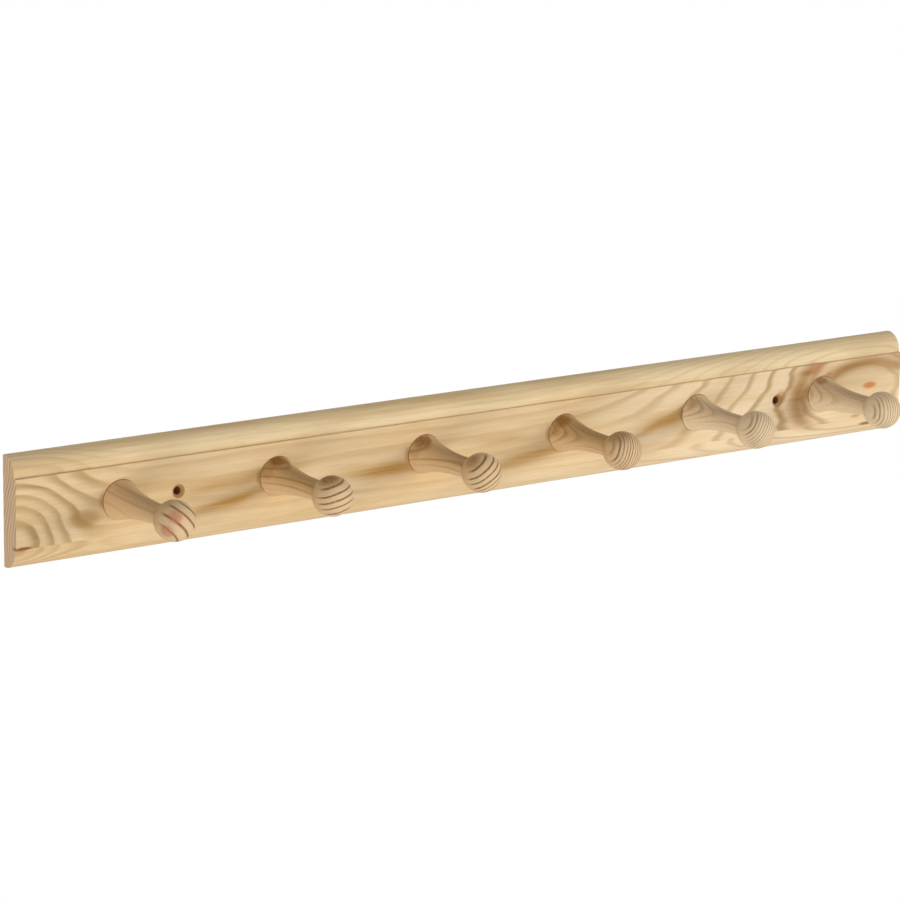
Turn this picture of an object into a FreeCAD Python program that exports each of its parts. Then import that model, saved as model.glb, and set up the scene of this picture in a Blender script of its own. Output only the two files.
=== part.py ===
"""Six-peg coat rack: a moulded pine rail with turned pine pegs, each drawn up by a screw from behind.

Millimetres. X runs along the rail, -Y points from the wall into the room and +Z is up. The origin is
the middle of the rail's back face, which lies flat on the wall.
"""

import FreeCAD, Part
import math
import os

import Sketcher

DIMENSIONS = [
    ("rail_length", 685, "rail, end to end"),
    ("rail_height", 67, "rail, bottom edge to top edge"),
    ("rail_thickness", 14.5, "rail, wall to front face"),
    ("moulding_height", 12.5, "edge moulding, from the rail's edge to its step"),
    ("step_depth", 1.8, "how far the moulding is set back from the front face"),
    ("edge_land", 3.5, "flat left on the rail's edge behind the moulding"),
    ("ovolo_bulge", 3, "how far the moulding's round swells out from its chord"),
    ("back_arris", 1, "rounding of the rail's two back edges"),
    ("front_arris", 0.5, "rounding of the front face's two long edges, at the steps"),
    ("peg_count", 6, "number of pegs"),
    ("end_margin", 70, "rail's end to the axis of the nearest peg"),
    ("peg_length", 71.2, "peg, front face to the tip of its ball"),
    ("peg_base_dia", 24, "peg, where it stands on the rail"),
    ("peg_neck_dia", 12.8, "peg, at its thinnest"),
    ("peg_neck_length", 5.7, "straight neck between the flare and the cove"),
    ("peg_cove_radius", 6, "cove that runs from the neck into the ball"),
    ("peg_ball_dia", 24.4, "ball at the peg's end"),
    ("wall_hole_offset", 39.5, "axis of an end peg to the wall screw's hole, towards the middle"),
    ("wall_hole_dia", 5, "hole for a wall screw"),
    ("wall_sink_dia", 9, "its countersink, on the front face"),
    ("sink_angle", 90, "countersinks and screw heads, full angle in degrees"),
    ("screw_length", 40, "peg screw, head to point"),
    ("screw_head_dia", 8, "peg screw's head"),
    ("screw_head_rim", 0.4, "straight rim round the head"),
    ("screw_head_recess", 0.3, "how far the head lies below the rail's back"),
    ("screw_shank_dia", 4, "plain shank under the head"),
    ("screw_core_dia", 2.8, "core of the threaded length"),
    ("screw_point_length", 4, "cone at the screw's end"),
    ("shank_clearance", 0.15, "room for the shank in the rail, and from its end to the peg"),
    ("pilot_clearance", 0.05, "radial room for the core in the peg's pilot hole"),
    ("pilot_overrun", 2, "pilot hole's depth past the screw's point"),
    ("drill_point_angle", 118, "pilot drill's point, full angle in degrees"),
    ("recess_span", 4.4, "cross recess in the screw's head, tip to tip"),
    ("recess_width", 1, "width of each slot of the cross"),
    ("recess_depth", 1.8, "depth of the cross"),
]

# How a sketch numbers its own axes, downwards, and the points of a line, an arc or a circle, upwards
HORIZONTAL_AXIS, VERTICAL_AXIS = range(-1, -3, -1)
START, END, CENTRE = range(1, 4)
ORIGIN_POINT = (HORIZONTAL_AXIS, START)

# Which way an arc turns on its way round an outline
LEFT, RIGHT = "left", "right"

# The outline of a peg and its screw is half of a section, as (radius, -distance from its seat)
BASE_RADIUS = "dims.peg_base_dia / 2"
NECK_RADIUS = "dims.peg_neck_dia / 2"
BALL_RADIUS = "dims.peg_ball_dia / 2"
BALL_CENTRE = f"(dims.peg_length - {BALL_RADIUS})"
COVE_CENTRE_RADIUS = f"({NECK_RADIUS} + dims.peg_cove_radius)"
BALL_TO_COVE = f"({BALL_RADIUS} + dims.peg_cove_radius)"
COVE_RUN = f"sqrt({BALL_TO_COVE}^2 - {COVE_CENTRE_RADIUS}^2)"
COVE_START = f"({BALL_CENTRE} - {COVE_RUN})"
BALL_SHARE = f"({BALL_RADIUS} / {BALL_TO_COVE})"
FLARE_LENGTH = f"({COVE_START} - dims.peg_neck_length)"
FLARE_DROP = f"({BASE_RADIUS} - {NECK_RADIUS})"
FLARE_RADIUS = f"(({FLARE_LENGTH}^2 + {FLARE_DROP}^2) / (2 * {FLARE_DROP}))"

# Where the rail's parts lie, from its middle and from its back
HALF_HEIGHT = "dims.rail_height / 2"
FACE_HALF = f"({HALF_HEIGHT} - dims.moulding_height)"
FLAT_HALF = f"({FACE_HALF} - dims.front_arris)"
ARRIS_DEPTH = "(dims.rail_thickness - dims.front_arris)"
ROUND_DEPTH = "(dims.rail_thickness - dims.step_depth)"
OVOLO_CHORD = f"sqrt(({ROUND_DEPTH} - dims.edge_land)^2 + dims.moulding_height^2)"
OVOLO_RADIUS = f"({OVOLO_CHORD}^2 / (8 * dims.ovolo_bulge) + dims.ovolo_bulge / 2)"
FIRST_PEG_X = "(dims.end_margin - dims.rail_length / 2)"
PEG_SPAN = "(dims.rail_length - 2 * dims.end_margin)"
WALL_HOLE_SPAN = f"({PEG_SPAN} - 2 * dims.wall_hole_offset)"

# Where a peg's screw lies: its head's cone seats in the rail and its core runs into the peg
HALF_SINK_ANGLE = "(dims.sink_angle * 1 deg / 2)"
HEAD_RADIUS = "dims.screw_head_dia / 2"
SHANK_RADIUS = "dims.screw_shank_dia / 2"
CORE_RADIUS = "dims.screw_core_dia / 2"
HEAD_DEPTH = f"(dims.screw_head_rim + ({HEAD_RADIUS} - {SHANK_RADIUS}) / tan({HALF_SINK_ANGLE}))"
RIM_DEPTH = "(dims.screw_head_recess + dims.screw_head_rim)"
HEAD_SINK_DIA = f"(dims.screw_head_dia + 2 * {RIM_DEPTH} * tan({HALF_SINK_ANGLE}))"
SHANK_END = "(dims.rail_thickness - dims.screw_head_recess - dims.shank_clearance)"
SCREW_REACH = "(dims.screw_head_recess + dims.screw_length - dims.rail_thickness)"

doc = FreeCAD.newDocument("coat_rack")


def add_sheet():
    """The driving dimensions, one row each: what it is, and its value under an alias."""
    dims = doc.addObject("Spreadsheet::Sheet", "dims")
    for row, (alias, number, meaning) in enumerate(DIMENSIONS, start=1):
        dims.set(f"A{row}", meaning)
        dims.set(f"B{row}", str(number))
        dims.setAlias(f"B{row}", alias)
    doc.recompute()


def add_body(name, x="0", y="0", z="0"):
    """A body of its own name, whose place is bound to expressions."""
    body = doc.addObject("PartDesign::Body", name)
    body.Label = name
    for axis, expression in zip("xyz", (x, y, z)):
        body.setExpression(f"Placement.Base.{axis}", expression)
    return body


def add_sketch(body, name, plane, offset="0"):
    """An empty sketch on one of the body's origin planes, moved along its normal by offset."""
    sketch = body.newObject("Sketcher::SketchObject", name)
    support = next(feature for feature in body.Origin.OriginFeatures if feature.Role == plane)
    sketch.AttachmentSupport = [(support, "")]
    sketch.MapMode = "FlatFace"
    sketch.setExpression("AttachmentOffset.Base.z", offset)
    return sketch


def number_of(sketch, expression):
    """The plain number that an expression gives now."""
    return float(sketch.evalExpression(expression))


def bind(sketch, constraint, name, expression):
    """Adds a constraint under a name and ties its size to an expression."""
    sketch.renameConstraint(sketch.addConstraint(constraint), name)
    sketch.setExpression(f"Constraints.{name}", expression)


def pin_point(sketch, geometry, end, name, x, y):
    """Holds a point at the place that two expressions give."""
    for kind, suffix, expression, axis in (
        ("DistanceX", "x", x, VERTICAL_AXIS),
        ("DistanceY", "y", y, HORIZONTAL_AXIS),
    ):
        if expression == "0":
            sketch.addConstraint(Sketcher.Constraint("PointOnObject", geometry, end, axis))
        else:
            size = number_of(sketch, expression)
            constraint = Sketcher.Constraint(kind, *ORIGIN_POINT, geometry, end, size)
            bind(sketch, constraint, f"{name}_{suffix}", expression)


def arc_between(start, end, turn, radius):
    """The shorter arc from start to end, which a sketch always keeps anticlockwise."""
    chord = end - start
    leftward = FreeCAD.Vector(-chord.y, chord.x, 0).normalize()
    height = math.sqrt(radius**2 - chord.Length**2 / 4)
    inward = leftward if turn == LEFT else -leftward
    centre = (start + end) * 0.5 + inward * height
    first, last = (start, end) if turn == LEFT else (end, start)
    angles = [math.atan2(point.y - centre.y, point.x - centre.x) for point in (first, last)]
    return Part.ArcOfCircle(Part.Circle(centre, FreeCAD.Vector(0, 0, 1), radius), *angles)


def draw_outline(sketch, corners):
    """Draws a closed outline, each corner a pair of expressions that hold it in place.

    A corner adds the way its side to the next corner turns and the expression of that side's radius,
    where the side is round. The other sides are straight.
    """
    points = [FreeCAD.Vector(number_of(sketch, x), number_of(sketch, y), 0) for x, y, *_ in corners]
    ends = []
    for number, (_, _, *arc) in enumerate(corners):
        start = points[number]
        end = points[(number + 1) % len(points)]
        if arc:
            turn, radius = arc
            side = arc_between(start, end, turn, number_of(sketch, radius))
        else:
            side = Part.LineSegment(start, end)
        sketch.addGeometry(side, False)
        ends.append((END, START) if RIGHT in arc else (START, END))
    for number in range(len(points)):
        following = (number + 1) % len(points)
        joint = (number, ends[number][1], following, ends[following][0])
        sketch.addConstraint(Sketcher.Constraint("Coincident", *joint))
    for number, (x, y, *arc) in enumerate(corners):
        pin_point(sketch, number, ends[number][0], f"corner_{number}", x, y)
        if arc:
            turn, radius = arc
            constraint = Sketcher.Constraint("Radius", number, number_of(sketch, radius))
            bind(sketch, constraint, f"radius_{number}", radius)


def draw_circle(sketch, x, diameter):
    """Draws a circle on the sketch's horizontal axis."""
    centre = FreeCAD.Vector(number_of(sketch, x), 0, 0)
    radius = number_of(sketch, diameter) / 2
    circle = sketch.addGeometry(Part.Circle(centre, FreeCAD.Vector(0, 0, 1), radius), False)
    pin_point(sketch, circle, CENTRE, "centre", x, "0")
    bind(sketch, Sketcher.Constraint("Diameter", circle, 2 * radius), "across", diameter)


def revolve(body, name, corners):
    """Turns half of a section round the body's Y axis."""
    sketch = add_sketch(body, f"{name}_section", "XY_Plane")
    draw_outline(sketch, corners)
    turned = body.newObject("PartDesign::Revolution", name)
    turned.Profile = sketch
    turned.ReferenceAxis = (sketch, ["V_Axis"])
    turned.Angle = 360
    doc.recompute()


def drill(body, name, sketch, diameter, depth=None, sink_diameter=None, towards_room=False):
    """Drills a hole at the sketch's circle: right through, or to a depth with a drill's point.

    A hole starts from the sketch's plane and runs to the wall, unless it runs towards the room. A
    sink diameter opens its start with a countersink.
    """
    hole = body.newObject("PartDesign::Hole", name)
    hole.Profile = sketch
    doc.recompute()
    hole.Reversed = towards_room
    hole.setExpression("Diameter", diameter)
    if depth:
        hole.DepthType = "Dimension"
        hole.setExpression("Depth", depth)
        hole.DrillPoint = "Angled"
        hole.setExpression("DrillPointAngle", "dims.drill_point_angle")
    else:
        hole.DepthType = "ThroughAll"
        hole.DrillPoint = "Flat"
    if sink_diameter:
        hole.HoleCutType = "Countersink"
        hole.HoleCutCustomValues = True
        hole.setExpression("HoleCutDiameter", sink_diameter)
        hole.setExpression("HoleCutCountersinkAngle", "dims.sink_angle")
    doc.recompute()
    return hole


def repeat_along(body, name, feature, sketch, span, count):
    """Repeats a feature along the rail, count times over a span."""
    row = body.newObject("PartDesign::LinearPattern", name)
    row.Originals = [feature]
    row.Direction = (sketch, ["H_Axis"])
    row.setExpression("Length", span)
    row.setExpression("Occurrences", count)
    body.Tip = row
    doc.recompute()


def make_rail():
    """The board: a moulded section run to length, then drilled for the wall screws and the pegs."""
    body = add_body("rail")
    section = add_sketch(body, "rail_section", "YZ_Plane")
    back_arris = (LEFT, "dims.back_arris")
    front_arris = (LEFT, "dims.front_arris")
    ovolo = (LEFT, OVOLO_RADIUS)
    corners = [
        ("0", f"-({HALF_HEIGHT} - dims.back_arris)"),
        ("0", f"{HALF_HEIGHT} - dims.back_arris", *back_arris),
        ("-dims.back_arris", HALF_HEIGHT),
        ("-dims.edge_land", HALF_HEIGHT, *ovolo),
        (f"-{ROUND_DEPTH}", FACE_HALF),
        (f"-{ARRIS_DEPTH}", FACE_HALF, *front_arris),
        ("-dims.rail_thickness", FLAT_HALF),
        ("-dims.rail_thickness", f"-{FLAT_HALF}", *front_arris),
        (f"-{ARRIS_DEPTH}", f"-{FACE_HALF}"),
        (f"-{ROUND_DEPTH}", f"-{FACE_HALF}", *ovolo),
        ("-dims.edge_land", f"-({HALF_HEIGHT})"),
        ("-dims.back_arris", f"-({HALF_HEIGHT})", *back_arris),
    ]
    draw_outline(section, corners)
    board = body.newObject("PartDesign::Pad", "board")
    board.Profile = section
    board.SideType = "Symmetric"
    board.setExpression("Length", "dims.rail_length")
    doc.recompute()

    wall_centre = add_sketch(body, "wall_hole_centre", "XZ_Plane", "dims.rail_thickness")
    draw_circle(wall_centre, f"-{WALL_HOLE_SPAN} / 2", "dims.wall_hole_dia")
    wall_hole = drill(
        body, "wall_hole", wall_centre, "dims.wall_hole_dia", sink_diameter="dims.wall_sink_dia"
    )
    repeat_along(body, "wall_holes", wall_hole, wall_centre, WALL_HOLE_SPAN, "2")

    screw_centre = add_sketch(body, "screw_hole_centre", "XZ_Plane")
    shank_hole_dia = "dims.screw_shank_dia + 2 * dims.shank_clearance"
    draw_circle(screw_centre, FIRST_PEG_X, shank_hole_dia)
    screw_hole = drill(
        body, "screw_hole", screw_centre, shank_hole_dia, sink_diameter=HEAD_SINK_DIA, towards_room=True
    )
    repeat_along(body, "screw_holes", screw_hole, screw_centre, PEG_SPAN, "dims.peg_count")
    return body


def peg_x(number):
    """Where along the rail a peg stands."""
    return f"{FIRST_PEG_X} + {number} * {PEG_SPAN} / (dims.peg_count - 1)"


def make_peg(number):
    """A turned peg: a long flare from its base to its neck, a cove and a ball, with a pilot hole."""
    body = add_body(f"peg_{number + 1}", x=peg_x(number), y="-dims.rail_thickness")
    flare = (LEFT, FLARE_RADIUS)
    cove = (LEFT, "dims.peg_cove_radius")
    ball = (RIGHT, BALL_RADIUS)
    corners = [
        ("0", "0"),
        (BASE_RADIUS, "0", *flare),
        (NECK_RADIUS, f"-{FLARE_LENGTH}"),
        (NECK_RADIUS, f"-{COVE_START}", *cove),
        (f"{COVE_CENTRE_RADIUS} * {BALL_SHARE}", f"-({BALL_CENTRE} - {COVE_RUN} * {BALL_SHARE})", *ball),
        ("0", "-dims.peg_length"),
    ]
    revolve(body, "turning", corners)
    pilot_centre = add_sketch(body, "pilot_centre", "XZ_Plane")
    pilot_dia = "dims.screw_core_dia + 2 * dims.pilot_clearance"
    draw_circle(pilot_centre, "0", pilot_dia)
    pilot_depth = f"{SCREW_REACH} + dims.pilot_overrun"
    drill(body, "pilot_hole", pilot_centre, pilot_dia, depth=pilot_depth, towards_room=True)
    return body


def make_screw(number):
    """A countersunk wood screw with a cross recess, driven from the rail's back into a peg."""
    body = add_body(f"peg_screw_{number + 1}", x=peg_x(number), y="-dims.screw_head_recess")
    corners = [
        ("0", "0"),
        (HEAD_RADIUS, "0"),
        (HEAD_RADIUS, "-dims.screw_head_rim"),
        (SHANK_RADIUS, f"-{HEAD_DEPTH}"),
        (SHANK_RADIUS, f"-{SHANK_END}"),
        (CORE_RADIUS, f"-{SHANK_END}"),
        (CORE_RADIUS, "-(dims.screw_length - dims.screw_point_length)"),
        ("0", "-dims.screw_length"),
    ]
    revolve(body, "shaft", corners)
    slot_sketch = add_sketch(body, "recess_slot", "XZ_Plane")
    half_span, half_width = "dims.recess_span / 2", "dims.recess_width / 2"
    slot_corners = [
        (f"-{half_span}", f"-{half_width}"),
        (half_span, f"-{half_width}"),
        (half_span, half_width),
        (f"-{half_span}", half_width),
    ]
    draw_outline(slot_sketch, slot_corners)
    slot = body.newObject("PartDesign::Pocket", "slot")
    slot.Profile = slot_sketch
    slot.Reversed = True
    slot.setExpression("Length", "dims.recess_depth")
    doc.recompute()
    cross = body.newObject("PartDesign::PolarPattern", "cross")
    cross.Originals = [slot]
    cross.Axis = (slot_sketch, ["N_Axis"])
    cross.Angle = 90
    cross.Occurrences = 2
    body.Tip = cross
    doc.recompute()
    return body


def write_parts(bodies):
    """Writes each sub-part to its own file, once every object of the document is sound."""
    doc.recompute()
    failed = [item.Label for item in doc.Objects if {"Invalid", "Error"} & set(item.State)]
    unsound = [body.Label for body in bodies if body.Shape.isNull() or not body.Shape.isValid()]
    if failed or unsound:
        raise RuntimeError(f"objects that failed: {failed}, shapes that are not valid: {unsound}")
    os.makedirs("parts", exist_ok=True)
    for body in bodies:
        body.Shape.exportStep(f"parts/{body.Label}.step")
        print(f"{body.Label}: {len(body.Shape.Solids)} solid, {body.Shape.Volume:.1f} cubic mm")


add_sheet()
peg_numbers = range(int(doc.dims.peg_count))
rail = make_rail()
pegs = [make_peg(number) for number in peg_numbers]
screws = [make_screw(number) for number in peg_numbers]
write_parts([rail] + pegs + screws)
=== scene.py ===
"""Looks of the six-peg coat rack: clear-lacquered pine with solid grain, zinc-plated screws and a studio."""

import math

import bpy
from mathutils import Matrix, Vector


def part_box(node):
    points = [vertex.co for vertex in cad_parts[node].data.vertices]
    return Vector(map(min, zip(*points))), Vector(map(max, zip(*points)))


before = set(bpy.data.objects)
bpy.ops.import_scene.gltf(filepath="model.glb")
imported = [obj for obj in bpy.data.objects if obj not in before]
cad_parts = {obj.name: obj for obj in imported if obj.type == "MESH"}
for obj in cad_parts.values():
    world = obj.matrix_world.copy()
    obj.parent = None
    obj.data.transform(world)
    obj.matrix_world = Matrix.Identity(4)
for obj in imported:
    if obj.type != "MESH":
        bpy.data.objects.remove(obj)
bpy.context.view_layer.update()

MM = 0.001
WHITE = (1, 1, 1, 1)

# The photograph's camera: where it stands, which way it looks and its lens
CAMERA_PLACE = Vector((-1349.3, -1809.0, 517.4)) * MM
CAMERA_YAW = math.radians(36.215)
CAMERA_PITCH = math.radians(13.093)
CAMERA_ROLL = math.radians(0.827)
CAMERA_SENSOR_MM = 36
CAMERA_LENS_MM = 147.18

# The floor, in metres, and how much of its look is plain white where it is seen
FLOOR_DROP = 1.45
FLOOR_RADIUS = 1.6
FLOOR_CORNERS = 96
FLOOR_COLOUR = (0.86, 0.85, 0.83, 1)
FLOOR_ROUGHNESS = 0.8
FLOOR_WHITENING = 0.7

# The light from all around
WORLD_FILL = 0.33
WORLD_FILL_COLOUR = (1.0, 0.95, 0.87, 1)

# White softboxes that face the rack: place, width, height, power in watts and whether metal mirrors them
SOFTBOXES = {
    "front": ((1.2, -2.9, 0.1), 2.6, 2.0, 27, True),
    "right": ((2.4, -2.6, 0.6), 1.2, 1.0, 39, True),
    "low_left": ((-2.4, -2.4, -1.2), 2.4, 1.8, 56, True),
    "behind": ((0.0, 2.9, 0.0), 6.0, 2.8, 90, False),
}

RAIL_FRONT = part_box("rail")[0].y / MM
PEG_NAMES = sorted(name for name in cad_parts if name.startswith("peg_") and "screw" not in name)
SCREW_NAMES = sorted(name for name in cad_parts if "screw" in name)

# The curve of screen colours: white's level, where the straight part ends, its slope, and the curve above it
SCREEN_WHITE = 255
SCREEN_KNEE = 0.04045
SCREEN_SLOPE = 12.92
SCREEN_OFFSET = 0.055
SCREEN_POWER = 2.4


def srgb(red, green, blue):
    """A colour given as 0 to 255 on screen, as the linear colour that shaders take."""
    def linear(level):
        level /= SCREEN_WHITE
        if level <= SCREEN_KNEE:
            return level / SCREEN_SLOPE
        return ((level + SCREEN_OFFSET) / (1 + SCREEN_OFFSET)) ** SCREEN_POWER
    return (linear(red), linear(green), linear(blue), 1)


PALE_WOOD = srgb(230, 204, 163)
CREAM_WOOD = srgb(238, 216, 180)
MID_WOOD = srgb(216, 183, 132)
# Tan of the wood, also used for painted shade on the pegs' flares and a painted shadow left of the first peg
TAN_WOOD_AND_SHADE = srgb(178, 137, 74)
# Tan of the streaks left of the pegs, partly wood and partly painted shadow
STREAK_AND_SHADOW_TAN = srgb(187, 141, 75)
GREY_TAN = srgb(176, 143, 98)
DARK_WOOD = srgb(118, 78, 48)
END_WOOD = srgb(226, 194, 164)
# The upper moulding's paler colour, a painted light on its upward face
MOULDING_PAINTED_LIGHT = srgb(247, 226, 184)
WARM_PEG = srgb(224, 189, 142)
PALE_PEG = srgb(238, 215, 178)
PEG_TAN = srgb(156, 106, 58)
BALL_WOOD = srgb(218, 196, 162)
# Brown of the knot's arches and of spots, and of painted shade beside the pegs' bases and in the
# countersinks
KNOT_AND_SHADE_BROWN = srgb(154, 104, 44)
ORANGE_STAIN = srgb(200, 122, 62)
PINK_STAIN = srgb(192, 124, 92)
RED_STAIN = srgb(138, 78, 48)
# Dark brown of painted shade in the wall holes' bores, and of the joint line around each peg's base with its
# painted contact shadow
SHADE_AND_JOINT_BROWN = srgb(120, 62, 24)
DULL_ZINC = srgb(152, 154, 157)
BRIGHT_ZINC = srgb(182, 183, 181)

# Half the width over which one look gives way to another at an edge, in mm
SOFT_EDGE = 0.5


class Value:
    """One number of a shader. Arithmetic on it adds Math nodes to the material's tree."""

    def __init__(self, tree, socket):
        self.tree = tree
        self.socket = socket

    def math(self, operation, *others):
        return compute(self.tree, operation, self, *others)

    def __add__(self, other):
        return self.math("ADD", other)

    def __sub__(self, other):
        return self.math("SUBTRACT", other)

    def __rsub__(self, other):
        return compute(self.tree, "SUBTRACT", other, self)

    def __mul__(self, other):
        return self.math("MULTIPLY", other)

    def __truediv__(self, other):
        return self.math("DIVIDE", other)

    def ramp(self, low, high):
        """Rises smoothly from 0 at low to 1 at high."""
        node = self.tree.nodes.new("ShaderNodeMapRange")
        node.interpolation_type = "SMOOTHSTEP"
        feed(self.tree, node.inputs["Value"], self)
        feed(self.tree, node.inputs["From Min"], low)
        feed(self.tree, node.inputs["From Max"], high)
        return Value(self.tree, node.outputs["Result"])

    def past(self, edge):
        """0 short of an edge and 1 past it."""
        return self.ramp(edge - SOFT_EDGE, edge + SOFT_EDGE)


def feed(tree, socket, value):
    """Gives a socket a Value, another socket or a plain constant."""
    if isinstance(value, Value):
        tree.links.new(value.socket, socket)
    elif isinstance(value, bpy.types.NodeSocket):
        tree.links.new(value, socket)
    else:
        socket.default_value = value


def compute(tree, operation, *values):
    """The result of a Math node."""
    node = tree.nodes.new("ShaderNodeMath")
    node.operation = operation
    for socket, value in zip(node.inputs, values):
        feed(tree, socket, value)
    return Value(tree, node.outputs[0])


def vector(tree, x, y, z):
    """Three numbers as one vector."""
    node = tree.nodes.new("ShaderNodeCombineXYZ")
    for socket, value in zip(node.inputs, (x, y, z)):
        feed(tree, socket, value)
    return node.outputs[0]


def split(tree, source):
    """The three numbers of a vector."""
    node = tree.nodes.new("ShaderNodeSeparateXYZ")
    tree.links.new(source, node.inputs[0])
    return [Value(tree, socket) for socket in node.outputs]


def counted(tree, place, lengths):
    """A place as a vector, each part of it counted in a length of its own."""
    return vector(tree, *(part / length for part, length in zip(place, lengths)))


# The middle of a Noise node's range, which starts at 0, and the detail of its smoother noise
NOISE_MIDDLE = 0.5
SMOOTH_DETAIL = 1.0


def noise(tree, place, detail=2.0, roughness=0.5):
    """Smooth noise about 0, from -1 to 1, with one lump for each unit of place."""
    node = tree.nodes.new("ShaderNodeTexNoise")
    feed(tree, node.inputs["Vector"], place)
    node.inputs["Scale"].default_value = 1
    node.inputs["Detail"].default_value = detail
    node.inputs["Roughness"].default_value = roughness
    return (Value(tree, node.outputs[0]) - NOISE_MIDDLE) / NOISE_MIDDLE


# A Mix node's sockets for colours, by number, because its sockets for other kinds have the same names
MIX_SHARE = 0
MIX_FIRST = 6
MIX_SECOND = 7
MIX_RESULT = 2


def mix(tree, share, first, second):
    """Blends two colours by a share from 0 to 1."""
    node = tree.nodes.new("ShaderNodeMix")
    node.data_type = "RGBA"
    feed(tree, node.inputs[MIX_SHARE], share)
    feed(tree, node.inputs[MIX_FIRST], first)
    feed(tree, node.inputs[MIX_SECOND], second)
    return node.outputs[MIX_RESULT]


def distance(place, centre, reach):
    """How far a place is from a centre, counted in the reach along each axis."""
    steps = [(value - middle) / span for value, middle, span in zip(place, centre, reach)]
    return sum((step * step for step in steps[1:]), steps[0] * steps[0]).math("SQRT")


def bell(far):
    """1 where a distance is nothing, falling off softly past 1."""
    return (far * far * -1).math("EXPONENT")


# The distances at which a blot begins to fade and ends
BLOT_EDGE = (0.5, 1.4)


def blot(far):
    """1 well within a distance of 1, falling off to nothing past it."""
    return 1 - far.ramp(*BLOT_EDGE)


def new_material(name):
    """A material with an empty tree but for its shader: the material, the tree and the shader."""
    material = bpy.data.materials.new(name)
    material.use_nodes = True
    tree = material.node_tree
    return material, tree, tree.nodes["Principled BSDF"]


def place_of(tree):
    """The three parts of the surface's place in mm."""
    coordinates = tree.nodes.new("ShaderNodeTexCoord")
    return [part / MM for part in split(tree, coordinates.outputs["Object"])]


def normal_of(tree):
    """The three parts of the way the surface faces."""
    geometry = tree.nodes.new("ShaderNodeNewGeometry")
    return split(tree, geometry.outputs["Normal"])


def box_of(name):
    """The low corner and the middle of a node's box in mm."""
    low, high = (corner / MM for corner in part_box(name))
    return low, (low + high) / 2


# Growth rings: where across a ring its late wood is darkest and from where to where it ends, how strong it
# is on the whole and how much that varies, and where the rings' own strengths are read from the noise
LATEWOOD_PEAK = 0.82
LATEWOOD_END = (0.84, 1.0)
LATEWOOD_STRENGTH = 0.65
LATEWOOD_VARIETY = 0.5
RING_STEP = 7.31
RING_LINE = (0.3, 0.7)


def latewood_of(tree, rings, start):
    """The dark late wood of growth rings, which begins a part of the way across each ring."""
    across = rings.math("FRACT")
    ring = vector(tree, rings.math("FLOOR") * RING_STEP, *RING_LINE)
    strength = noise(tree, ring) * LATEWOOD_VARIETY + LATEWOOD_STRENGTH
    return across.ramp(start, LATEWOOD_PEAK) * (1 - across.ramp(*LATEWOOD_END)) * strength


# Lacquered pine: how dark late wood is where it is cut across, the noise of its fine fibres and how they
# tint it, its gloss and how much that varies, and the relief of its fibres and its late wood
CUT_DARKNESS = 0.6
FIBRE_DETAIL = 3.0
FIBRE_ROUGHNESS = 0.6
FIBRE_TINT = 0.3
FIBRE_TINT_MEAN = 0.04
PINE_ROUGHNESS = 0.58
PINE_ROUGHNESS_VARIETY = 0.05
PINE_SPECULAR = 0.1
RELIEF_STRENGTH = 0.12
RELIEF_MM = 0.15
FIBRE_RELIEF = 0.5
LATEWOOD_RELIEF = 0.3


def finish_pine(tree, shader, latewood, fibre, cut, colour_layers, pale, tan):
    """Colours, gloss and grain relief of lacquered pine.

    latewood is at most 1, fibre is a place scaled to the fibres, cut says how squarely the surface cuts
    across them and colour_layers are layers of colour, stains and painted shade among them, as (share,
    colour) pairs.
    """
    colour = mix(tree, latewood, pale, tan)
    colour = mix(tree, latewood * cut * CUT_DARKNESS, colour, DARK_WOOD)
    for share, tint in colour_layers:
        colour = mix(tree, share, colour, tint)
    fibres = noise(tree, fibre, FIBRE_DETAIL, FIBRE_ROUGHNESS)
    tinted = (fibres * FIBRE_TINT + FIBRE_TINT_MEAN).math("MAXIMUM", 0.0)
    feed(tree, shader.inputs["Base Color"], mix(tree, tinted, colour, tan))
    roughness = (fibres - latewood) * PINE_ROUGHNESS_VARIETY + PINE_ROUGHNESS
    feed(tree, shader.inputs["Roughness"], roughness)
    shader.inputs["Specular IOR Level"].default_value = PINE_SPECULAR
    bump = tree.nodes.new("ShaderNodeBump")
    bump.inputs["Strength"].default_value = RELIEF_STRENGTH
    bump.inputs["Distance"].default_value = RELIEF_MM * MM
    feed(tree, bump.inputs["Height"], fibres * FIBRE_RELIEF - latewood * LATEWOOD_RELIEF)
    feed(tree, shader.inputs["Normal"], bump.outputs[0])


# The rail's patterns: the lengths along it, into it and up it, in mm, that one lump of their noise takes
RAIL_WANDER = (170, 40, 34)
RAIL_RIPPLE = (55, 10, 10)
RAIL_CLOUDS = (90, 7, 9)
RAIL_GRAIN = (45, 1.6, 1.3)
RAIL_WAVES = (40, 40, 60)
RAIL_FIBRES = (14, 0.5, 0.5)

# From where to where along the rail its swirl gives way to plain wood, its plain wood to figured wood and
# its pale wood to cream wood
PLAIN_FROM = (-310, -270)
FIGURED_FROM = (60, 190)
CREAM_FROM = (-60, 240)

# What differs in the swirl, the plain wood and the figured wood: how far the rings ripple, how dark they
# are, where across them the late wood begins, how grey it is and how much the clouds show
RIPPLE = (0.30, 0.12, 0.26)
CONTRAST = (1.65, 0.45, 1.15)
LATEWOOD_START = (0.20, 0.35, 0.55)
GREYNESS = (1, 0, 1)
CLOUDING = (0.65, 0.65, 0.40)

# The rail's rings: how many cross a mm of height at its left end, how that changes along it, as stretches
# and changes, how many cross a mm of depth, how far they wander, and how they are shifted as a whole
RINGS_PER_MM = 0.01
RINGS_PER_MM_CHANGES = [((-325, -255), 0.09), ((20, 200), -0.053), ((200, 260), -0.037)]
RINGS_PER_DEPTH = 0.33
RINGS_WANDER = 0.8
RINGS_SHIFT = 60.3
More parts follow.
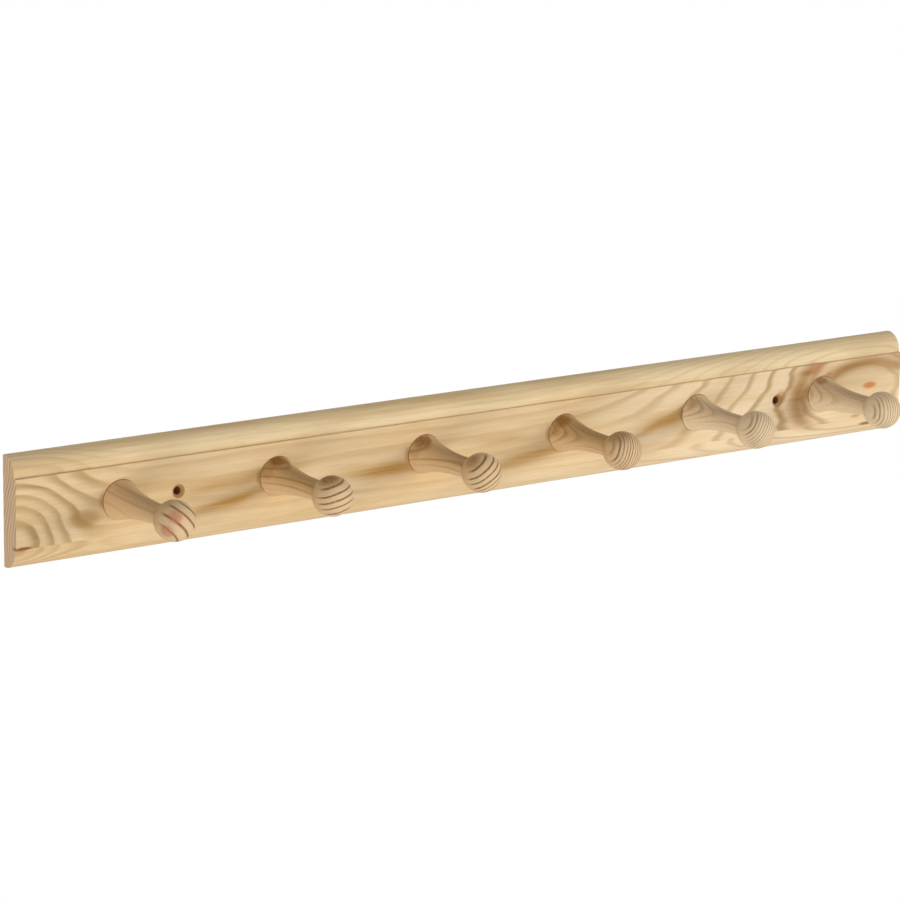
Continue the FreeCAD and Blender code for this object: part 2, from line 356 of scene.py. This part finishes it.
# How the rings bend, widely and closely around the knot and around the swirl at the left end: centre, reach
# along and up the face, and rings bent
RING_BENDS = [
    ((303, 4), (130, 70), 7.3),
    ((308, 3), (44, 21), 1.4),
    ((-343, -14), (36, 32), 4.95),
]
# The knot's eye, where the rings fade: its centre and reach, and how much they fade there and on the upper
# and lower mouldings
EYE_CENTRE = (308, 2)
EYE_REACH = (42, 22)
EYE_FADING = 0.75
UPPER_FADING = 0.65
LOWER_FADING = 0.35
# How squarely a surface faces along the rail where it begins to look like an end and where it is one, how
# dark an end's rings are, and how much the upper moulding is painted paler, a painted light on its upward
# face
END_FACING = (0.5, 1.0)
END_CONTRAST = 0.8
MOULDING_PAINTED_LIGHTNESS = 0.6

# Wavy tan streaks on the rail's face to the left of the pegs, partly wood streaks and partly painted shadows
# of the pegs: place, reach along and up it, climb to the right and share
RAIL_STREAKS_AND_PAINTED_SHADOWS = [
    ((-196, 0.5), (34, 4.0), 0.11, 0.60),
    ((-196, -10.5), (28, 3.2), 0.17, 0.95),
    ((-95, 7.0), (30, 2.5), 0.00, 0.20),
    ((-84, -6.0), (28, 4.2), -0.03, 0.95),
    ((8, 1.0), (26, 2.6), -0.05, 0.50),
    ((28, -11.6), (30, 3.8), 0.10, 0.95),
    ((138, -2.0), (26, 4.4), 0.22, 0.85),
]
# Spots on the rail's face: place, reach along and up it, share and colour
RAIL_SPOTS = [
    # Left of the first peg: partly a wood spot and partly a painted shadow of that peg
    ((-297, -8), (10, 5), 0.65, TAN_WOOD_AND_SHADE),
    ((267, 18), (6, 3.5), 0.35, PINK_STAIN),
    ((308, 4), (40, 22), 0.20, TAN_WOOD_AND_SHADE),
    ((315, 1.3), (6.0, 2.2), 0.90, ORANGE_STAIN),
    # Painted shade on the right wall of the right-hand countersink
    ((236, 2), (3.6, 4.4), 0.50, KNOT_AND_SHADE_BROWN),
    ((278, 13), (3, 1.2), 0.60, PINK_STAIN),
    ((303, -18.6), (4, 1.2), 0.60, PINK_STAIN),
    ((315, -25.5), (6, 1.2), 0.80, RED_STAIN),
    ((-338, -20.6), (6, 1.3), 0.95, RED_STAIN),
]
# Broad brown arches around the knot: centre, half-width and height, thickness against them, share and foot
RAIL_ARCHES = [
    ((312, -2), (40, 19.5), 0.21, 0.85, 2),
    ((308, -3), (58, 35), 0.15, 1.00, -26),
]
# How deep the front's stains and painted shade reach, the levels of noise at which clouds and grain begin
# and are full, the grain's share, how much clouds vary the arches, the height in which an arch's foot fades,
# how far the streaks wave, how dark they are between the grain's lines, and how much darker on them
FRONT_DEPTH = (2, 6)
CLOUD_LEVELS = (-0.3, 0.5)
GRAIN_LEVELS = (-0.5, 0.5)
GRAIN_SHARE = 0.14
ARCH_CLOUDING = 0.3
ARCH_FOOT = 10
STREAK_WAVE = 3.0
STREAK_LEAST = 0.8
STREAK_GRAIN = 0.45

# Half the height of the flat face between the mouldings, the depth at which the mouldings end, and the wall
# screws' holes, in mm, with the shares of the painted shade in their countersinks and bores
FACE_HALF = 21
EDGE_DEPTH = 13.5
WALL_HOLE_X = 233
WALL_SINK_RADIUS = 4.5
WALL_SINK_DEPTH = 2.0
WALL_SINK_SHARE = 0.6
WALL_BORE_SHARE = 0.85
# The painted shade to the left of each peg's base, and the dark joint line where the base meets the rail,
# with a painted contact shadow that makes it darkest at its upper left and faintest away from it, in mm
PEG_BASE_RADIUS = 12
BASE_SHADE_RISE = 1.0
BASE_SHADE_REACH = (3.0, 4.5)
BASE_SHADE_SHARE = 0.5
JOINT_LINE = 0.5
JOINT_LEAST = 0.2
ONE_MM = (1.0, 1.0)


def changing(stretches, values):
    """A number that changes along the rail, given in the swirl, the plain wood and the figured wood."""
    plain, figured = stretches
    in_swirl, in_plain, in_figured = values
    return plain * (in_plain - in_swirl) + figured * (in_figured - in_plain) + in_swirl


def rail_rings(tree, place, stretches):
    """Counts the rail's growth rings, which cross its face at a low angle and bend at a knot and a swirl."""
    x, depth, z = place
    rings_per_mm = RINGS_PER_MM
    for stretch, change in RINGS_PER_MM_CHANGES:
        rings_per_mm = x.ramp(*stretch) * change + rings_per_mm
    rings = rings_per_mm * z + depth * RINGS_PER_DEPTH
    for centre, reach, bent in RING_BENDS:
        rings = rings - bell(distance((x, z), centre, reach)) * bent
    wander = noise(tree, counted(tree, place, RAIL_WANDER), SMOOTH_DETAIL) * RINGS_WANDER
    ripple = noise(tree, counted(tree, place, RAIL_RIPPLE), SMOOTH_DETAIL) * changing(stretches, RIPPLE)
    return rings + (wander + ripple) + RINGS_SHIFT


def hole_painted_shade(place):
    """Painted shade on the walls of the wall screws' countersunk holes: tan in the countersinks, dark brown
    in the bores.
    """
    x, depth, z = place
    off_axis = distance((x.math("ABSOLUTE"), z), (WALL_HOLE_X, 0), ONE_MM)
    outside = off_axis.ramp(WALL_SINK_RADIUS, WALL_SINK_RADIUS + SOFT_EDGE)
    sunk = (1 - outside) * depth.ramp(0, SOFT_EDGE)
    bored = sunk * depth.past(WALL_SINK_DEPTH)
    return [(sunk * WALL_SINK_SHARE, KNOT_AND_SHADE_BROWN), (bored * WALL_BORE_SHARE, SHADE_AND_JOINT_BROWN)]


def base_painted_shade_and_joint(face, front):
    """Painted shade beside each peg's base, and the dark joint line around it with a painted contact shadow
    at its upper left.
    """
    x, z = face
    colour_layers = []
    for peg in PEG_NAMES:
        _, middle = box_of(peg)
        beside = (middle.x - PEG_BASE_RADIUS, middle.z + BASE_SHADE_RISE)
        shade = blot(distance(face, beside, BASE_SHADE_REACH)) * front
        colour_layers.append((shade * BASE_SHADE_SHARE, KNOT_AND_SHADE_BROWN))
        off_base = distance(face, (middle.x, middle.z), ONE_MM) - PEG_BASE_RADIUS
        # The joint line is painted darker towards the upper left, as a contact shadow
        upper_left = (z - middle.z - (x - middle.x)).ramp(-PEG_BASE_RADIUS / 2, PEG_BASE_RADIUS)
        line = bell(off_base / JOINT_LINE) * front
        colour_layers.append((line * (upper_left * (1 - JOINT_LEAST) + JOINT_LEAST), SHADE_AND_JOINT_BROWN))
    return colour_layers


def rail_stains_and_shade(tree, place, stretches, cut, upper, tan):
    """The rail's layers of colour, as (share, colour) pairs: stains and figure, and painted shade and shadow
    beside the pegs and in the wall holes.
    """
    x, depth, z = place
    face = (x, z)
    front = 1 - depth.ramp(*FRONT_DEPTH)
    clouds = noise(tree, counted(tree, place, RAIL_CLOUDS)).ramp(*CLOUD_LEVELS)
    grain = noise(tree, counted(tree, place, RAIL_GRAIN)).ramp(*GRAIN_LEVELS)
    colour_layers = [(clouds * changing(stretches, CLOUDING), MID_WOOD), (grain * (1 - cut) * GRAIN_SHARE, tan)]
    clouded = clouds * ARCH_CLOUDING + (1 - ARCH_CLOUDING)
    for centre, reach, thickness, share, foot in RAIL_ARCHES:
        arch = bell((distance(face, centre, reach) - 1) / thickness) * z.ramp(foot, foot + ARCH_FOOT)
        colour_layers.append((arch * clouded * (1 - upper) * front * share, KNOT_AND_SHADE_BROWN))
    waving = noise(tree, counted(tree, place, RAIL_WAVES), SMOOTH_DETAIL) * STREAK_WAVE + z
    lined = grain * STREAK_GRAIN + STREAK_LEAST
    # Each streak is partly wood and partly a painted shadow of the peg to its right
    for centre, reach, climb, share in RAIL_STREAKS_AND_PAINTED_SHADOWS:
        climbed = waving - (x - centre[0]) * climb
        streak = bell(distance((x, climbed), centre, reach)) * lined
        colour_layers.append((streak * front * share, STREAK_AND_SHADOW_TAN))
    for centre, reach, share, tint in RAIL_SPOTS:
        colour_layers.append((blot(distance(face, centre, reach)) * front * share, tint))
    return colour_layers + hole_painted_shade(place) + base_painted_shade_and_joint(face, front)


def rail_pine():
    """The rail's board: fibres along X, a swirl of rings at the left end and a knot at the right."""
    material, tree, shader = new_material("rail_pine")
    x, y, z = place_of(tree)
    depth = y - RAIL_FRONT
    place = (x, depth, z)
    stretches = (x.ramp(*PLAIN_FROM), x.ramp(*FIGURED_FROM))
    cut = normal_of(tree)[0].math("ABSOLUTE").ramp(*END_FACING)
    moulded = 1 - depth.past(EDGE_DEPTH)
    upper = z.past(FACE_HALF) * moulded
    lower = (z * -1).past(FACE_HALF) * moulded
    pale = mix(tree, x.ramp(*CREAM_FROM), PALE_WOOD, CREAM_WOOD)
    # Painted light: the upper moulding is painted paler
    pale = mix(tree, upper * MOULDING_PAINTED_LIGHTNESS, pale, MOULDING_PAINTED_LIGHT)
    pale = mix(tree, cut, pale, END_WOOD)
    tan = mix(tree, changing(stretches, GREYNESS), TAN_WOOD_AND_SHADE, GREY_TAN)
    eye = bell(distance((x, z), EYE_CENTRE, EYE_REACH))
    bold = changing(stretches, CONTRAST) * (1 - eye * EYE_FADING)
    bold = bold * (1 - upper * UPPER_FADING - lower * LOWER_FADING)
    contrast = bold * (1 - cut) + cut * END_CONTRAST
    rings = rail_rings(tree, place, stretches)
    latewood = latewood_of(tree, rings, changing(stretches, LATEWOOD_START)) * contrast
    colour_layers = rail_stains_and_shade(tree, place, stretches, cut, upper, tan)
    fibre = counted(tree, place, RAIL_FIBRES)
    finish_pine(tree, shader, latewood.math("MINIMUM", 1.0), fibre, cut, colour_layers, pale, tan)
    return material


# Each peg's growth rings: the way they run across its ball in degrees, their spacing in mm, a shift, and how
# dark they are on the ball and on the flare. Then how tan the flare's upper side is, partly wood and partly
# painted shade on its top, and its pale wood
PEG_WOOD = {
    "peg_1": (-48, 5.6, 0.2, 1.4, 0.40, 0.00, WARM_PEG),
    "peg_2": (15, 3.9, 0.5, 1.4, 0.90, 0.35, WARM_PEG),
    "peg_3": (35, 3.4, 0.1, 1.4, 0.80, 0.15, WARM_PEG),
    "peg_4": (74, 1.8, 0.7, 1.1, 0.80, 0.40, WARM_PEG),
    "peg_5": (53, 1.7, 0.4, 0.8, 0.45, 0.10, PALE_PEG),
    "peg_6": (85, 1.9, 0.9, 0.8, 0.45, 0.20, PALE_PEG),
}
# Spots on the pegs: place beside, out from the wall and above the peg's axis, reach, share and colour
PEG_SPOTS = {
    "peg_1": [
        ((-5.2, -82.5, 4.8), 4.0, 0.75, PINK_STAIN),
        ((-9.6, -80.2, -3.6), 4.0, 0.75, PINK_STAIN),
    ],
    "peg_2": [
        ((-1.5, -18.5, 11.0), 6.0, 1.00, KNOT_AND_SHADE_BROWN),
        ((-9.0, -18.0, 5.0), 5.0, 0.35, KNOT_AND_SHADE_BROWN),
        ((-3.0, -75.0, 11.0), 6.5, 0.80, KNOT_AND_SHADE_BROWN),
    ],
    "peg_3": [
        ((-5.0, -18.5, 9.5), 5.5, 0.80, KNOT_AND_SHADE_BROWN),
        ((-9.0, -18.0, 3.0), 4.0, 0.30, KNOT_AND_SHADE_BROWN),
        ((-8.0, -75.0, 8.0), 5.0, 0.60, KNOT_AND_SHADE_BROWN),
    ],
    "peg_4": [
        ((-5.0, -19.0, 9.5), 5.5, 0.80, KNOT_AND_SHADE_BROWN),
        ((-9.0, -18.0, 3.0), 4.0, 0.30, KNOT_AND_SHADE_BROWN),
        ((-5.0, -75.0, 10.0), 7.0, 0.50, KNOT_AND_SHADE_BROWN),
    ],
    "peg_5": [((-7.0, -18.0, 8.0), 5.0, 0.50, TAN_WOOD_AND_SHADE)],
    "peg_6": [((-4.0, -18.0, 10.0), 4.0, 0.60, KNOT_AND_SHADE_BROWN)],
}
# The pegs' patterns: the lengths beside, along and above the axis, in mm, that one lump of their noise
# takes, and how far apart in it, in mm, two pegs are whose shifts differ by 1
PEG_WANDER = (14, 60, 14)
PEG_MOTTLE = (1.5, 1.5, 1.5)
PEG_FIBRES = (0.5, 14, 0.5)
PEG_APART = 2400
# The pegs' rings: how far they wander in mm, how much they curve, their shift as a whole, how unevenly they
# are spaced, and where that is read from the noise
PEG_RINGS_WANDER = 0.9
PEG_RINGS_CURVE = 0.006
PEG_RINGS_SHIFT = 40
UNEVENNESS = 0.4
UNEVEN_STEP = 0.45
UNEVEN_APART = 9
# Where across a very wide ring the late wood begins, and by how many mm it begins sooner in every ring
EARLYWOOD = 0.72
LATEWOOD_MM = 0.6
# How the rings and spots are mottled, and how dark rings are at the least
MOTTLE_MEAN = 0.9
MOTTLE_VARIETY = 0.5
RINGS_LEAST = 0.1
# How far the ball reaches back from a peg's tip, the stretch over which its look gives way to the flare's,
# how it faces along Y where its rings are full and where they end, and how pale it is there
BALL_LENGTH = 18
BALL_FADE = 6
BALL_FACING = (-0.55, 0.0)
BALL_PALENESS = 0.5
# From where to where above the axis the flare's rings and its tan, partly painted shade, show
FLARE_RINGS_RISE = (-8, 2)
FLARE_TAN_AND_SHADE_RISE = (-4, 4)


def peg_rings(tree, place, run, spacing, shift):
    """Counts a peg's growth rings, which are nearly flat and run across it at an angle."""
    side, y, rise = place
    cosine = math.cos(math.radians(run))
    sine = math.sin(math.radians(run))
    across = rise * cosine - side * sine
    along = side * cosine + rise * sine
    own_place = (side, y + shift * PEG_APART, rise)
    wander = noise(tree, counted(tree, own_place, PEG_WANDER), SMOOTH_DETAIL) * PEG_RINGS_WANDER
    curved = across + along * along * PEG_RINGS_CURVE + wander
    rings = curved / spacing + (PEG_RINGS_SHIFT + shift)
    uneven = noise(tree, vector(tree, rings * UNEVEN_STEP, shift * UNEVEN_APART, 0.0))
    return rings + uneven * UNEVENNESS


def peg_pine(name):
    """A turned peg's pine: fibres along its axis, and rings that show as lines on the ball and the flare."""
    material, tree, shader = new_material(f"{name}_pine")
    x, y, z = place_of(tree)
    low, middle = box_of(name)
    run, spacing, shift, ball_dark, flare_dark, flare_tan_and_shade, pale = PEG_WOOD[name]
    side = x - middle.x
    rise = z - middle.z
    place = (side, y, rise)
    flare = y.ramp(low.y + BALL_LENGTH, low.y + BALL_LENGTH + BALL_FADE)
    cut = (1 - flare) * (1 - normal_of(tree)[1].ramp(*BALL_FACING))
    mottle = noise(tree, counted(tree, place, PEG_MOTTLE)) * MOTTLE_VARIETY + MOTTLE_MEAN
    dark = cut * ball_dark + rise.ramp(*FLARE_RINGS_RISE) * flare * flare_dark + RINGS_LEAST
    rings = peg_rings(tree, place, run, spacing, shift)
    latewood = latewood_of(tree, rings, EARLYWOOD - LATEWOOD_MM / spacing) * mottle * dark
    # The flare's upper side is painted tan: partly wood and partly painted shade on its top
    colour_layers = [(rise.ramp(*FLARE_TAN_AND_SHADE_RISE) * flare * flare_tan_and_shade, TAN_WOOD_AND_SHADE)]
    for centre, reach, share, tint in PEG_SPOTS[name]:
        spot = blot(distance(place, centre, [reach] * len(centre)))
        colour_layers.append((spot * mottle * share, tint))
    pale = mix(tree, cut * BALL_PALENESS, pale, BALL_WOOD)
    fibre = counted(tree, place, PEG_FIBRES)
    finish_pine(tree, shader, latewood.math("MINIMUM", 1.0), fibre, cut, colour_layers, pale, PEG_TAN)
    return material


# Zinc plating: the lengths that one lump of its blotches takes, their detail, and its gloss
ZINC_BLOTCHES = (1.6, 1.6, 1.6)
ZINC_DETAIL = 3.0
ZINC_ROUGHNESS = 0.34
ZINC_ROUGHNESS_VARIETY = 0.08


def zinc_steel():
    """Zinc-plated steel: a little blotched, and neither polished nor dull."""
    material, tree, shader = new_material("zinc_steel")
    blotch = noise(tree, counted(tree, place_of(tree), ZINC_BLOTCHES), ZINC_DETAIL)
    feed(tree, shader.inputs["Base Color"], mix(tree, (blotch + 1) / 2, DULL_ZINC, BRIGHT_ZINC))
    shader.inputs["Metallic"].default_value = 1
    feed(tree, shader.inputs["Roughness"], blotch * ZINC_ROUGHNESS_VARIETY + ZINC_ROUGHNESS)
    return material


def dress(name, material):
    """Gives a node its material in place of the plain one it came with."""
    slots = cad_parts[name].data.materials
    slots.clear()
    slots.append(material)


def make_camera():
    """The camera, which looks along its yaw and pitch and leans by its roll."""
    data = bpy.data.cameras.new("camera")
    data.sensor_width = CAMERA_SENSOR_MM
    data.lens = CAMERA_LENS_MM
    camera = bpy.data.objects.new("camera", data)
    ahead = Vector((
        math.sin(CAMERA_YAW) * math.cos(CAMERA_PITCH),
        math.cos(CAMERA_YAW) * math.cos(CAMERA_PITCH),
        -math.sin(CAMERA_PITCH),
    ))
    level = ahead.cross(Vector((0, 0, 1))).normalized()
    upright = level.cross(ahead)
    right = level * math.cos(CAMERA_ROLL) + upright * math.sin(CAMERA_ROLL)
    up = upright * math.cos(CAMERA_ROLL) - level * math.sin(CAMERA_ROLL)
    turn = Matrix((right, up, -ahead)).transposed().to_4x4()
    camera.matrix_world = Matrix.Translation(CAMERA_PLACE) @ turn
    bpy.context.scene.collection.objects.link(camera)
    bpy.context.scene.camera = camera


def make_lights():
    """Softboxes that face the rack."""
    for name, (place, width, height, power, mirrored) in SOFTBOXES.items():
        data = bpy.data.lights.new(name, "AREA")
        data.shape = "RECTANGLE"
        data.size = width
        data.size_y = height
        data.energy = power
        light = bpy.data.objects.new(name, data)
        light.location = place
        light.rotation_euler = (-Vector(place)).to_track_quat("-Z", "Y").to_euler()
        light.visible_camera = False
        light.visible_glossy = mirrored
        bpy.context.scene.collection.objects.link(light)


def seen_rays(tree):
    """1 for the rays that see a thing straight, mirrored or through glass, 0 for those that light others."""
    path = tree.nodes.new("ShaderNodeLightPath")
    seen = Value(tree, path.outputs["Is Camera Ray"]) + path.outputs["Is Glossy Ray"]
    return (seen + path.outputs["Is Transmission Ray"]).math("MINIMUM", 1.0)


def blend_shaders(tree, share, first, second, output):
    """Sends a blend of two shaders to the tree's output."""
    blend = tree.nodes.new("ShaderNodeMixShader")
    for socket, value in zip(blend.inputs, (share, first.outputs[0], second.outputs[0])):
        feed(tree, socket, value)
    feed(tree, output.inputs["Surface"], blend.outputs[0])


def make_world():
    """A white surround where it is seen or mirrored, and a weaker fill where it lights the rack."""
    world = bpy.data.worlds.new("studio")
    bpy.context.scene.world = world
    world.use_nodes = True
    tree = world.node_tree
    fill = tree.nodes["Background"]
    fill.inputs["Color"].default_value = WORLD_FILL_COLOUR
    fill.inputs["Strength"].default_value = WORLD_FILL
    surround = tree.nodes.new("ShaderNodeBackground")
    surround.inputs["Color"].default_value = WHITE
    blend_shaders(tree, seen_rays(tree), fill, surround, tree.nodes["World Output"])


def make_floor():
    """A round pale floor well below the rack, which hangs on a wall. It is whitened where it is seen."""
    bpy.ops.mesh.primitive_circle_add(vertices=FLOOR_CORNERS, radius=FLOOR_RADIUS, fill_type="NGON")
    floor = bpy.context.object
    floor.name = "floor"
    floor.location.z = -FLOOR_DROP
    material, tree, shader = new_material("floor")
    shader.inputs["Base Color"].default_value = FLOOR_COLOUR
    shader.inputs["Roughness"].default_value = FLOOR_ROUGHNESS
    white = tree.nodes.new("ShaderNodeEmission")
    white.inputs["Color"].default_value = WHITE
    blend_shaders(tree, seen_rays(tree) * FLOOR_WHITENING, shader, white, tree.nodes["Material Output"])
    floor.data.materials.append(material)


bpy.context.scene.view_settings.view_transform = "Standard"
make_camera()
make_world()
make_lights()
make_floor()
dress("rail", rail_pine())
for peg in PEG_NAMES:
    dress(peg, peg_pine(peg))
steel = zinc_steel()
for screw in SCREW_NAMES:
    dress(screw, steel)
